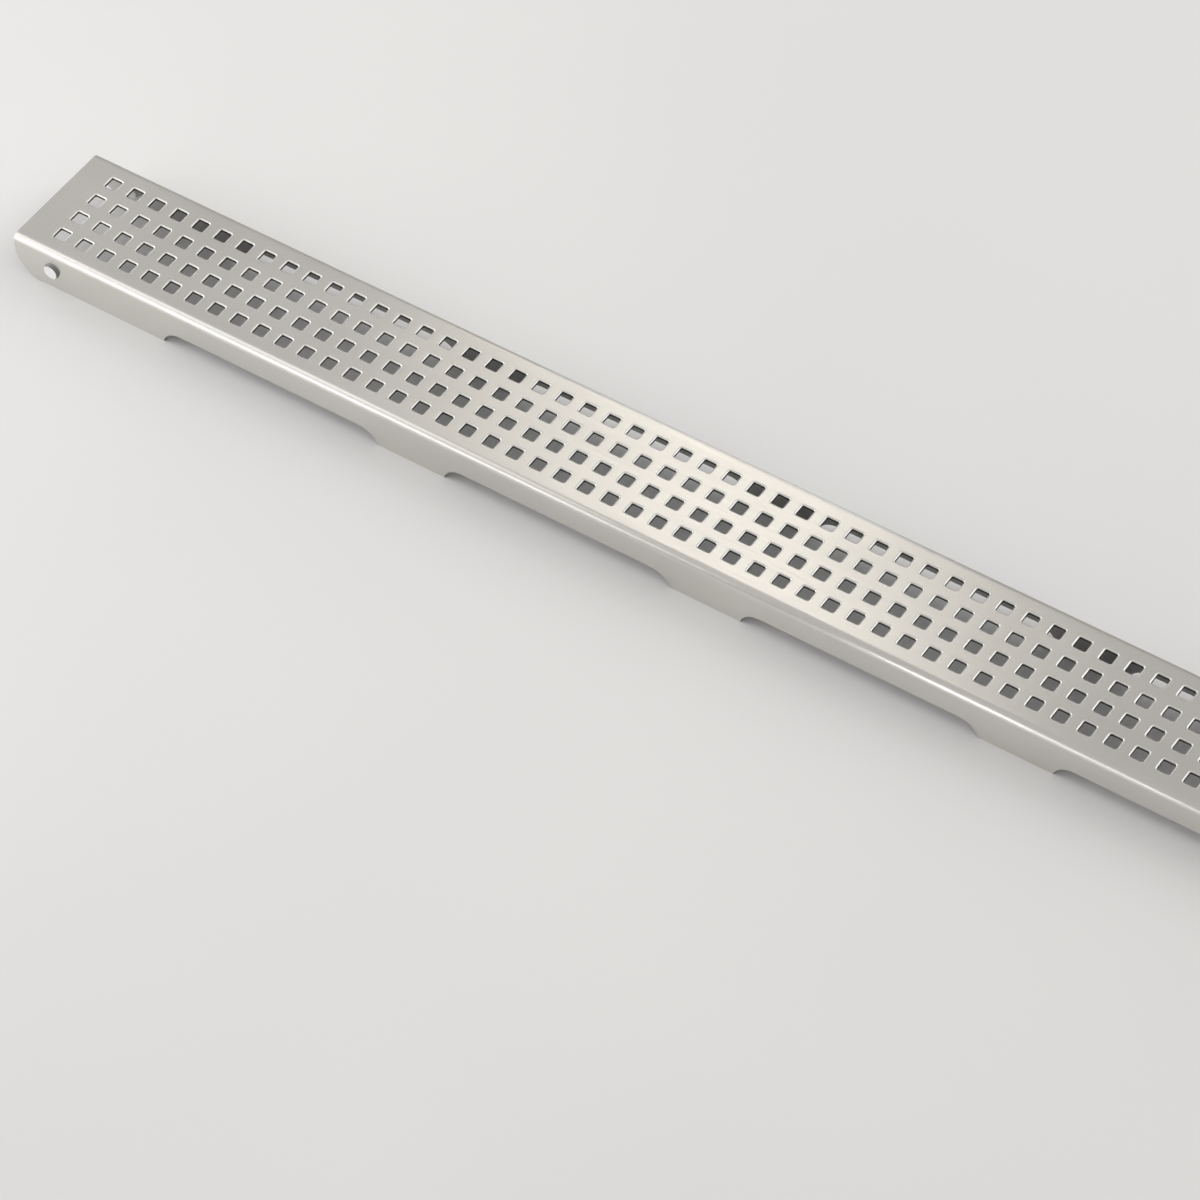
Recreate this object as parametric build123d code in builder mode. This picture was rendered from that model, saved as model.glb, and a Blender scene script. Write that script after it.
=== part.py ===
"""Grate of a linear shower drain: a punched sheet folded into an inverted channel, on feet.

The origin is at floor level under the middle of the grate. X runs along it, Y across it and Z up.
All sizes are in millimetres.
"""
import os

from build123d import *

# The folded sheet
width = 60.0
height = 21.5
sheet = 1.5
inside_bend = 2.0

# The field of square holes, which also sets the length of the grate
hole_side = 6.0
hole_corner = 0.5
pitch = 12.0
columns = 58
rows = 4
end_margin = 18.0

# The notches that let water in under the flanges, and the feet left between them
notch_count = 4
notch_height = 7.2
notch_run_out = 9.5
end_foot = 80.0
middle_foot = 34.5
end_corner = 14.0

# The push-in bumpers near the ends of both flanges
bumper_inset = 20.0
bumper_drop = 11.0
bumper_proud = 1.4
bumper_head = 7.9
bumper_face = 6.8
bumper_stem = 6.0
bumper_barb = 7.0
bumper_tip = 5.6
bumper_barb_length = 3.0
stem_clearance = 0.1

length = (columns - 1) * pitch + 2 * end_margin
outside_bend = inside_bend + sheet
notch_length = (length - 2 * end_foot - (notch_count - 1) * middle_foot) / notch_count
notch_pitch = notch_length + middle_foot
bumper_x = length / 2 - bumper_inset
bumper_z = height - bumper_drop

os.makedirs("parts", exist_ok=True)

with BuildPart() as grate:
    # The sheet folds down along both long edges; the line is its outer face, seen along X
    with BuildLine(Plane.YZ.offset(length / 2)) as outer_face:
        FilletPolyline(
            (-width / 2, 0),
            (-width / 2, height),
            (width / 2, height),
            (width / 2, 0),
            radius=outside_bend,
        )
    make_brake_formed(thickness=sheet, station_widths=length, side=Side.RIGHT)

    # The notches, cut across both flanges, with ends that curve down into the feet
    with BuildSketch(Plane.XZ) as notches:
        with GridLocations(notch_pitch, 0, notch_count, 1):
            with BuildSketch(mode=Mode.PRIVATE) as notch:
                with BuildLine() as notch_outline:
                    foot_end = (notch_length / 2, 0)
                    run_out_end = (notch_length / 2 - notch_run_out, notch_height)
                    middle_top = (0, notch_height)
                    Line((0, 0), foot_end)
                    TangentArc(run_out_end, foot_end, tangent=(1, 0))
                    Line(run_out_end, middle_top)
                    mirror(about=Plane.YZ)
                make_face()
            add(notch.sketch)
    extrude(amount=width, both=True, mode=Mode.SUBTRACT)

    # The lower corners at both ends of both flanges
    floor_edges = grate.edges().filter_by(Axis.Y).group_by(Axis.Z)[0].group_by(Axis.X)
    fillet(floor_edges[0] + floor_edges[-1], radius=end_corner)

    # The round holes that the bumpers are pushed through
    with BuildSketch(Plane.XZ) as bumper_holes:
        with Locations((-bumper_x, bumper_z), (bumper_x, bumper_z)):
            Circle((bumper_stem + stem_clearance) / 2)
    extrude(amount=width, both=True, mode=Mode.SUBTRACT)

    # The square holes, punched through the top; a short flat stands for each rounded corner
    with BuildSketch(Plane.XY.offset(height)) as hole_field:
        with GridLocations(pitch, pitch, columns, rows):
            Rectangle(hole_side, hole_side)
        chamfer(hole_field.vertices(), length=hole_corner)
    extrude(amount=-sheet, mode=Mode.SUBTRACT)

grate.part.label = "grate"
export_step(grate.part, "parts/grate.step")


def make_bumper(name, x, outward):
    """One bumper, turned about the axis of its hole; outward is -1 at the front and 1 at the back."""
    seat = Plane(
        origin=(x, outward * width / 2, bumper_z), x_dir=(1, 0, 0), z_dir=(0, 0, outward)
    )
    with BuildPart() as bumper:
        with BuildSketch(seat) as section:
            with BuildLine() as section_outline:
                Polyline(
                    (0, bumper_proud),
                    (bumper_face / 2, bumper_proud),
                    (bumper_head / 2, 0),
                    (bumper_stem / 2, 0),
                    (bumper_stem / 2, -sheet),
                    (bumper_barb / 2, -sheet),
                    (bumper_tip / 2, -sheet - bumper_barb_length),
                    (0, -sheet - bumper_barb_length),
                    close=True,
                )
            make_face()
        revolve(axis=Axis(seat.origin, seat.y_dir))
    bumper.part.label = name
    export_step(bumper.part, f"parts/{name}.step")


for side, outward in (("front", -1), ("back", 1)):
    for end, x in (("left", -bumper_x), ("right", bumper_x)):
        make_bumper(f"bumper_{side}_{end}", x, outward)
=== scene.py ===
import math
from itertools import pairwise

import bmesh
import bpy
import numpy as np
from mathutils import Matrix, Vector


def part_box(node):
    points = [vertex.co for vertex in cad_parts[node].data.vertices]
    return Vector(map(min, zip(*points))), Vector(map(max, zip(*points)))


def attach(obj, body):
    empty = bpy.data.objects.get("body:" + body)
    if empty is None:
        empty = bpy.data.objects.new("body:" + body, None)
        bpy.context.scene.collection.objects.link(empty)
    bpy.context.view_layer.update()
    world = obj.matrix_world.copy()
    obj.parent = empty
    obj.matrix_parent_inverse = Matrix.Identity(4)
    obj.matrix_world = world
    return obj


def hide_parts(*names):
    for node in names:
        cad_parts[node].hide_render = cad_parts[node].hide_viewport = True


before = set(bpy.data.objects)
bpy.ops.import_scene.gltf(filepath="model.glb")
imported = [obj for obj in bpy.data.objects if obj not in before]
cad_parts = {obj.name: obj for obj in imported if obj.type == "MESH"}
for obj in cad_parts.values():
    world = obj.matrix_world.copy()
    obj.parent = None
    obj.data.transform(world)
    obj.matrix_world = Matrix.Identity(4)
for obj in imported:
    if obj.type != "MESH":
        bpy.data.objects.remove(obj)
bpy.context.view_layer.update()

MM = 0.001

# The grate, in metres: its outer size is the frame's, the rest is as it is made
half_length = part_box("grate")[1].x
half_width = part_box("grate")[1].y
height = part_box("grate")[1].z
sheet = 1.5 * MM
inside_bend = 2.0 * MM
pitch = 12.0 * MM
hole_side = 6.0 * MM
hole_corner = 0.8 * MM
columns_each_side = 29
rows_each_side = 2
end_foot = 80.0 * MM
middle_foot = 34.5 * MM
notch_height = 7.2 * MM
notch_run_out = 9.5 * MM
end_corner = 14.0 * MM
bumper_inset = 20.0 * MM
bumper_drop = 11.0 * MM
bumper_hole = 6.1 * MM

# Where the punch has drawn the sheet down around each hole
roll_over_radius = 0.95 * MM
roll_over_angle = math.radians(50)

# Places worked out from these sizes, in the quarter that is modelled: the front right one
outside_bend = inside_bend + sheet
bend_y = -half_width + outside_bend
bend_z = height - outside_bend
column_lines = [i * pitch for i in range(columns_each_side + 1)]
field_y = -rows_each_side * pitch
bumper_x = half_length - bumper_inset
bumper_z = height - bumper_drop

# How finely round forms are divided
bend_steps = 8
arc_steps = 10
corner_steps = 4
roll_over_steps = 5

# How near two points are taken as one, and the decimals of a metre that stations along X keep
same_point = 0.001 * MM
station_decimals = 7

# Edges that turn by more than this stay sharp
sharp_angle = math.radians(40)

# The materials of the sheet, in the order in which its faces name them
BRUSHED, DRAWN, CUT_PAINTED_SHADE, INSIDE_PAINTED_SHADE = range(4)

# The flat face of a bumper's head points at least this much along Y, its side less
head_face_normal = 0.9

# The camera that took the photograph, with its lens and sensor in millimetres
camera_place = Vector((0.8277, -1.1487, 1.6319))
camera_target = Vector((-0.0263, -0.0653, 0.0215))
camera_roll = math.radians(-4.71)
camera_lens = 157.65
camera_sensor = 36.0

# How far the table reaches to each side
floor_reach = 4.0

# The room's light, which has its overhead level where a direction rises by this much or more
room_colour = (1, 0.99, 0.975)
room_rise = 0.6

# Nearly all values of a noise pattern lie between these two
noise_low = 0.3
noise_high = 0.7


def add_object(name, data):
    """Puts a new object with this data into the scene."""
    made = bpy.data.objects.new(name, data)
    bpy.context.scene.collection.objects.link(made)
    return made


def add_mesh(name, bm):
    """Puts what was built in a bmesh into the scene."""
    mesh = bpy.data.meshes.new(name)
    bm.to_mesh(mesh)
    bm.free()
    return add_object(name, mesh)


def add_face(bm, points, finish):
    """One face of the sheet; points that faces share are joined when the sheet is whole."""
    bm.faces.new([bm.verts.new(p) for p in points]).material_index = finish


def add_strip(bm, first, second, finish):
    """A row of four-sided faces between two lines that have as many points."""
    for (a, b), (c, d) in pairwise(zip(first, second)):
        add_face(bm, [a, c, d, b], finish)


def lower_edge():
    """The lower edge of a flange from the middle of the grate to its end, as points (x, z).

    It has half a foot at the middle, a notch, a whole foot, a notch and the foot at the end.
    """
    notch_length = (half_length - end_foot - 1.5 * middle_foot) / 2
    radius = (notch_run_out**2 + notch_height**2) / (2 * notch_height)
    foot_angle = math.asin(1 - notch_height / radius)
    run_out = [
        (notch_run_out - radius * math.cos(a), notch_height - radius + radius * math.sin(a))
        for a in np.linspace(foot_angle, math.pi / 2, arc_steps + 1)
    ]
    edge = [(0, 0)]
    for start in (middle_foot / 2, middle_foot * 1.5 + notch_length):
        edge += [(start + x, z) for x, z in run_out]
        edge += [(start + notch_length - x, z) for x, z in reversed(run_out)]
    corner_x = half_length - end_corner
    edge += [
        (corner_x + end_corner * math.sin(a), end_corner - end_corner * math.cos(a))
        for a in np.linspace(0, math.pi / 2, arc_steps + 1)
    ]
    return edge


def lower_edge_heights():
    """The height of the lower edge at each of its points and at each line between two columns."""
    edge_x, edge_z = zip(*lower_edge())
    stations = np.unique(np.round([*edge_x, *column_lines], station_decimals))
    return dict(zip(stations, np.interp(stations, edge_x, edge_z)))


def bend_line(depth):
    """The bend from the flange up to the top, at a depth under the outer face, as points (y, z)."""
    radius = outside_bend - depth
    return [
        (bend_y - radius * math.cos(a), bend_z + radius * math.sin(a))
        for a in np.linspace(0, math.pi / 2, bend_steps + 1)
    ]


def rounded_square(centre, half_side, radius):
    """Points around a square with round corners, from the middle of its first corner."""
    loop = []
    out = math.sqrt(2) * (half_side - radius)
    for quarter in range(4):
        turn = quarter * math.pi / 2
        corner = (
            centre[0] + out * math.cos(turn + math.pi / 4),
            centre[1] + out * math.sin(turn + math.pi / 4),
        )
        for a in np.linspace(turn, turn + math.pi / 2, corner_steps + 1):
            loop.append((corner[0] + radius * math.cos(a), corner[1] + radius * math.sin(a)))
    first = corner_steps // 2
    return loop[first:] + loop[:first]


def bumper_ring():
    """The round hole for a bumper: a square whose corners are round all the way, as points (x, z)."""
    return rounded_square((bumper_x, bumper_z), bumper_hole / 2, bumper_hole / 2)


def around_loop(panel, loop):
    """Splits the panel around a loop into four faces, one to each side of the panel."""
    part = len(loop) // 4
    faces = []
    for side in range(4):
        near = [loop[i % len(loop)] for i in range(side * part, (side + 1) * part + 1)]
        faces.append([panel[side], panel[(side + 1) % 4]] + near[::-1])
    return faces


def add_skin(bm, lower, depth, finish):
    """The outer or the inner face of the sheet, by its depth, apart from the field of holes."""
    wall_y = -half_width + depth
    top_z = height - depth

    # The flange and the bend above it
    for x0, x1 in pairwise(lower):
        panel = [(x1, bend_z), (x0, bend_z), (x0, lower[x0]), (x1, lower[x1])]
        outlines = around_loop(panel, bumper_ring()) if x0 < bumper_x < x1 else [panel]
        for outline in outlines:
            add_face(bm, [(x, wall_y, z) for x, z in outline], finish)
    for (y0, z0), (y1, z1) in pairwise(bend_line(depth)):
        add_strip(bm, [(x, y0, z0) for x in lower], [(x, y1, z1) for x in lower], finish)

    # The plain strip beside the holes, and the plain end
    for x0, x1 in pairwise(column_lines + [half_length]):
        along = [x for x in lower if x0 - same_point < x < x1 + same_point]
        strip = [(x1, field_y), (x0, field_y)] + [(x, bend_y) for x in along]
        add_face(bm, [(x, y, top_z) for x, y in strip], finish)
    plain_end = [(column_lines[-1], -i * pitch) for i in range(rows_each_side + 1)]
    plain_end += [(half_length, field_y), (half_length, 0)]
    add_face(bm, [(x, y, top_z) for x, y in plain_end], finish)


def add_cut_edges(bm, lower):
    """The cut edges of the sheet: along the feet and notches, at the end, and in the bumper hole."""
    end_z = lower[max(lower)]
    feet, end, hole = [], [], []
    for depth in (0, sheet):
        wall_y = -half_width + depth
        section = [(wall_y, end_z)] + bend_line(depth)
        section += [(y, height - depth) for y in (field_y, 0)]
        ring = bumper_ring()
        feet.append([(x, wall_y, z) for x, z in lower.items()])
        end.append([(half_length, y, z) for y, z in section])
        hole.append([(x, wall_y, z) for x, z in ring + ring[:1]])
    for outer_line, inner_line in (feet, end, hole):
        add_strip(bm, outer_line, inner_line, CUT_PAINTED_SHADE)


def add_hole(bm, column, row):
    """One punched hole in its own square of the sheet, with its drawn-down edge."""
    x0, x1 = column * pitch, (column + 1) * pitch
    y0, y1 = -(row + 1) * pitch, -row * pitch
    panel = [(x1, y1), (x0, y1), (x0, y0), (x1, y0)]
    centre = ((x0 + x1) / 2, (y0 + y1) / 2)

    def ring(out, down):
        loop = rounded_square(centre, hole_side / 2 + out, hole_corner + out)
        return [(x, y, height - down) for x, y in loop]

    rings = []
    for a in np.linspace(0, roll_over_angle, roll_over_steps + 1):
        out = roll_over_radius * (math.sin(roll_over_angle) - math.sin(a))
        rings.append(ring(out, roll_over_radius * (1 - math.cos(a))))
    rings.append(ring(0, sheet))

    for depth, loop, finish in ((0, rings[0], BRUSHED), (sheet, rings[-1], INSIDE_PAINTED_SHADE)):
        for outline in around_loop([(x, y, height - depth) for x, y in panel], loop):
            add_face(bm, outline, finish)
    finishes = [DRAWN] * roll_over_steps + [CUT_PAINTED_SHADE]
    for (upper, below), finish in zip(pairwise(rings), finishes):
        add_strip(bm, upper + upper[:1], below + below[:1], finish)


def build_grate():
    """The folded sheet with its holes: a quarter of it, mirrored twice."""
    bm = bmesh.new()
    lower = lower_edge_heights()
    add_skin(bm, lower, 0, BRUSHED)
    add_skin(bm, lower, sheet, INSIDE_PAINTED_SHADE)
    add_cut_edges(bm, lower)
    for column in range(columns_each_side):
        for row in range(rows_each_side):
            add_hole(bm, column, row)
    bmesh.ops.remove_doubles(bm, verts=bm.verts, dist=same_point)
    bmesh.ops.recalc_face_normals(bm, faces=bm.faces)

    piece = add_mesh("grate_sheet", bm)
    piece.data.shade_smooth()
    piece.data.set_sharp_from_angle(angle=sharp_angle)
    mirror = piece.modifiers.new("other_quarters", "MIRROR")
    mirror.use_axis = (True, True, False)
    mirror.merge_threshold = same_point
    normals = piece.modifiers.new("flat_faces_stay_flat", "WEIGHTED_NORMAL")
    normals.keep_sharp = True
    return piece


def new_material(name):
    """A new material, with its node tree and the shader in it."""
    material = bpy.data.materials.new(name)
    material.use_nodes = True
    return material, material.node_tree, material.node_tree.nodes["Principled BSDF"]


def noise(tree, scale, detail, stretch=1):
    """A noise pattern fixed to the object, drawn out along X by the given factor."""
    place = tree.nodes.new("ShaderNodeTexCoord")
    mapping = tree.nodes.new("ShaderNodeMapping")
    mapping.inputs["Scale"].default_value = (1 / stretch, 1, 1)
    pattern = tree.nodes.new("ShaderNodeTexNoise")
    pattern.inputs["Scale"].default_value = scale
    pattern.inputs["Detail"].default_value = detail
    tree.links.new(place.outputs["Object"], mapping.inputs["Vector"])
    tree.links.new(mapping.outputs["Vector"], pattern.inputs["Vector"])
    return pattern.outputs["Fac"]


def spread(tree, pattern, low, high):
    """Maps a noise pattern to the range from low to high."""
    ramp = tree.nodes.new("ShaderNodeMapRange")
    ramp.inputs["From Min"].default_value = noise_low
    ramp.inputs["From Max"].default_value = noise_high
    ramp.inputs["To Min"].default_value = low
    ramp.inputs["To Max"].default_value = high
    tree.links.new(pattern, ramp.inputs["Value"])
    return ramp.outputs["Result"]


def vary_colour(tree, shader, pattern, dark, light):
    """The pattern takes the shader's colour from dark to light."""
    tint = tree.nodes.new("ShaderNodeMix")
    tint.data_type = "RGBA"
    tint.inputs["A"].default_value = (*dark, 1)
    tint.inputs["B"].default_value = (*light, 1)
    tree.links.new(spread(tree, pattern, 0, 1), tint.inputs["Factor"])
    tree.links.new(tint.outputs["Result"], shader.inputs["Base Color"])


def vary_roughness(tree, shader, pattern, low, high):
    """The pattern takes the shader's roughness from low to high."""
    tree.links.new(spread(tree, pattern, low, high), shader.inputs["Roughness"])


def raise_surface(tree, shader, pattern, strength, distance):
    """The pattern makes the surface look slightly uneven."""
    bump = tree.nodes.new("ShaderNodeBump")
    bump.inputs["Strength"].default_value = strength
    bump.inputs["Distance"].default_value = distance
    tree.links.new(pattern, bump.inputs["Height"])
    tree.links.new(bump.outputs["Normal"], shader.inputs["Normal"])


def shade(colour, factor):
    """The colour made darker or lighter by a factor."""
    return [factor * c for c in colour]


def steel(name, colour, roughness, brushed):
    """Stainless steel; brushed is how strongly it is brushed along X, from 0 to 1."""
    material, tree, shader = new_material(name)
    shader.inputs["Metallic"].default_value = 1.0
    shader.inputs["Anisotropic"].default_value = brushed
    tangent = tree.nodes.new("ShaderNodeTangent")
    tangent.direction_type = "RADIAL"
    tangent.axis = "X"
    tree.links.new(tangent.outputs["Tangent"], shader.inputs["Tangent"])

    grain = noise(tree, scale=1500, detail=2, stretch=1 + 40 * brushed)
    patches = noise(tree, scale=22, detail=2, stretch=2)
    vary_roughness(tree, shader, grain, roughness * 0.93, roughness * 1.07)
    vary_colour(tree, shader, patches, shade(colour, 0.95), shade(colour, 1.05))
    raise_surface(tree, shader, patches, strength=0.08, distance=0.3 * MM)
    return material


def silicone(name, colour):
    """Soft silicone with a faint grain."""
    material, tree, shader = new_material(name)
    grain = noise(tree, scale=900, detail=3)
    vary_roughness(tree, shader, grain, 0.45, 0.6)
    vary_colour(tree, shader, grain, shade(colour, 0.97), shade(colour, 1.03))
    raise_surface(tree, shader, grain, strength=0.1, distance=0.05 * MM)
    return material


def pale_table():
    """The matt pale surface that the grate lies on, faintly clouded."""
    material, tree, shader = new_material("pale_table")
    shader.inputs["Roughness"].default_value = 0.8
    shader.inputs["Specular IOR Level"].default_value = 0.2
    clouds = noise(tree, scale=3, detail=2)
    vary_colour(tree, shader, clouds, (0.77, 0.765, 0.76), (0.80, 0.795, 0.785))
    return material


def add_floor():
    """The table top under the grate."""
    bm = bmesh.new()
    bmesh.ops.create_grid(bm, x_segments=1, y_segments=1, size=floor_reach)
    floor = add_mesh("floor", bm)
    floor.data.materials.append(pale_table())


def add_softbox(name, place, wide, tall, radiance, colour=(1, 1, 1)):
    """A soft lamp that faces the grate; radiance is how bright its face looks."""
    data = bpy.data.lights.new(name, "AREA")
    data.shape = "RECTANGLE"
    data.size = wide
    data.size_y = tall
    data.energy = radiance * math.pi * wide * tall
    data.color = colour
    lamp = add_object(name, data)
    facing = Vector(place).to_track_quat("Z", "Y").to_matrix().to_4x4()
    lamp.matrix_world = Matrix.Translation(place) @ facing
    lamp.visible_camera = False


def add_room(low, high):
    """The light of the room: low is a vector to its bright side at table height, high is overhead."""
    world = bpy.data.worlds.new("room")
    world.use_nodes = True
    nodes, links = world.node_tree.nodes, world.node_tree.links
    background = nodes["Background"]
    background.inputs["Color"].default_value = (*room_colour, 1)
    place = nodes.new("ShaderNodeTexCoord")
    side = nodes.new("ShaderNodeVectorMath")
    side.operation = "DOT_PRODUCT"
    side.inputs[1].default_value = low
    lit_side = nodes.new("ShaderNodeMapRange")
    split = nodes.new("ShaderNodeSeparateXYZ")
    rise = nodes.new("ShaderNodeMapRange")
    rise.inputs["From Max"].default_value = room_rise
    rise.inputs["To Max"].default_value = high
    links.new(place.outputs["Generated"], side.inputs[0])
    links.new(side.outputs["Value"], lit_side.inputs["Value"])
    links.new(place.outputs["Generated"], split.inputs["Vector"])
    links.new(split.outputs["Z"], rise.inputs["Value"])
    links.new(lit_side.outputs["Result"], rise.inputs["To Min"])
    links.new(rise.outputs["Result"], background.inputs["Strength"])
    bpy.context.scene.world = world


def add_camera():
    """The camera at the photograph's place and angle."""
    data = bpy.data.cameras.new("camera")
    data.lens = camera_lens
    data.sensor_width = camera_sensor
    camera = add_object("camera", data)
    look = (camera_target - camera_place).to_track_quat("-Z", "Y").to_matrix().to_4x4()
    roll = Matrix.Rotation(camera_roll, 4, "Z")
    camera.matrix_world = Matrix.Translation(camera_place) @ look @ roll
    bpy.context.scene.camera = camera


# The sheet, with its finishes in the order of their names above
grate = build_grate()
for finish in (
    steel("brushed_steel", (0.722, 0.703, 0.668), roughness=0.225, brushed=1.0),
    steel("drawn_steel", (0.700, 0.685, 0.655), roughness=0.36, brushed=0.6),
    # Cut edges and hole walls: a rough sheared finish, with its colour painted far darker than steel
    # as painted shade
    steel("cut_steel_painted_shade", (0.13, 0.127, 0.123), roughness=0.55, brushed=0.0),
    # Inner faces: a rougher finish, with the colour painted darker than the top as painted shade under
    # the grate
    steel("mill_steel_painted_shade", (0.55, 0.545, 0.535), roughness=0.34, brushed=1.0),
):
    grate.data.materials.append(finish)
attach(grate, "root")
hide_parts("grate")

# The bumpers keep the form of the solids: white, with painted shade on the side of the head outside
# the flange
bumper_body = silicone("white_silicone", (0.94, 0.94, 0.93))
bumper_painted_shade = silicone("silicone_painted_shade", (0.22, 0.22, 0.215))
for name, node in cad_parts.items():
    if name.startswith("bumper"):
        node.data.materials.clear()
        node.data.materials.append(bumper_body)
        node.data.materials.append(bumper_painted_shade)
        for polygon in node.data.polygons:
            # Faces on the side of the head, outside the flange, take the painted shade
            outside = abs((node.matrix_world @ polygon.center).y) > half_width
            side = abs(polygon.normal.y) < head_face_normal
            polygon.material_index = int(outside and side)

add_floor()
add_camera()

# Soft lamps, each by its place, width, height and radiance
# Behind the grate: two strips that its top and back bend mirror, one at the right, one for the notches
add_softbox("back_strip", (-1.03, 1.40, 1.94), 0.3, 1.0, 1.66, (1.0, 0.955, 0.87))
add_softbox("back_strip_low", (-0.86, 1.90, 0.70), 0.3, 0.8, 0.9)
add_softbox("back_right", (1.32, 1.58, 1.58), 1.8, 1.4, 1.45)
add_softbox("back_low", (1.2, 2.4, 0.95), 3.0, 1.2, 1.25)

# Overhead and beyond the left end
add_softbox("over_left", (-1.54, -0.39, 2.06), 1.0, 1.0, 1.05)
add_softbox("over_right", (0.78, 0.0, 2.48), 1.4, 1.4, 0.65)
add_softbox("left", (-2.4, 0.1, 0.95), 2.2, 1.7, 1.2)

# In front, for the flange and the table before it; the narrow ones show in the front bend
add_softbox("front_left_near", (-0.85, -0.80, 0.50), 0.6, 0.5, 0.3)
add_softbox("front_left_far", (-1.4, -1.8, 0.9), 1.0, 0.8, 1.8)
add_softbox("front_left_low", (-1.9, -1.8, 0.32), 1.3, 0.6, 0.75)
add_softbox("front_left_foot", (-0.90, -0.30, 0.34), 0.5, 0.4, 2.4)
add_softbox("front_window", (-0.70, -2.28, 0.40), 0.13, 0.5, 5.3)
add_softbox("front_window_edge", (-0.52, -2.28, 0.40), 0.11, 0.5, 3.1)
add_room((-0.6, 0, 0), 0.58)
bpy.context.scene.view_settings.view_transform = "Standard"
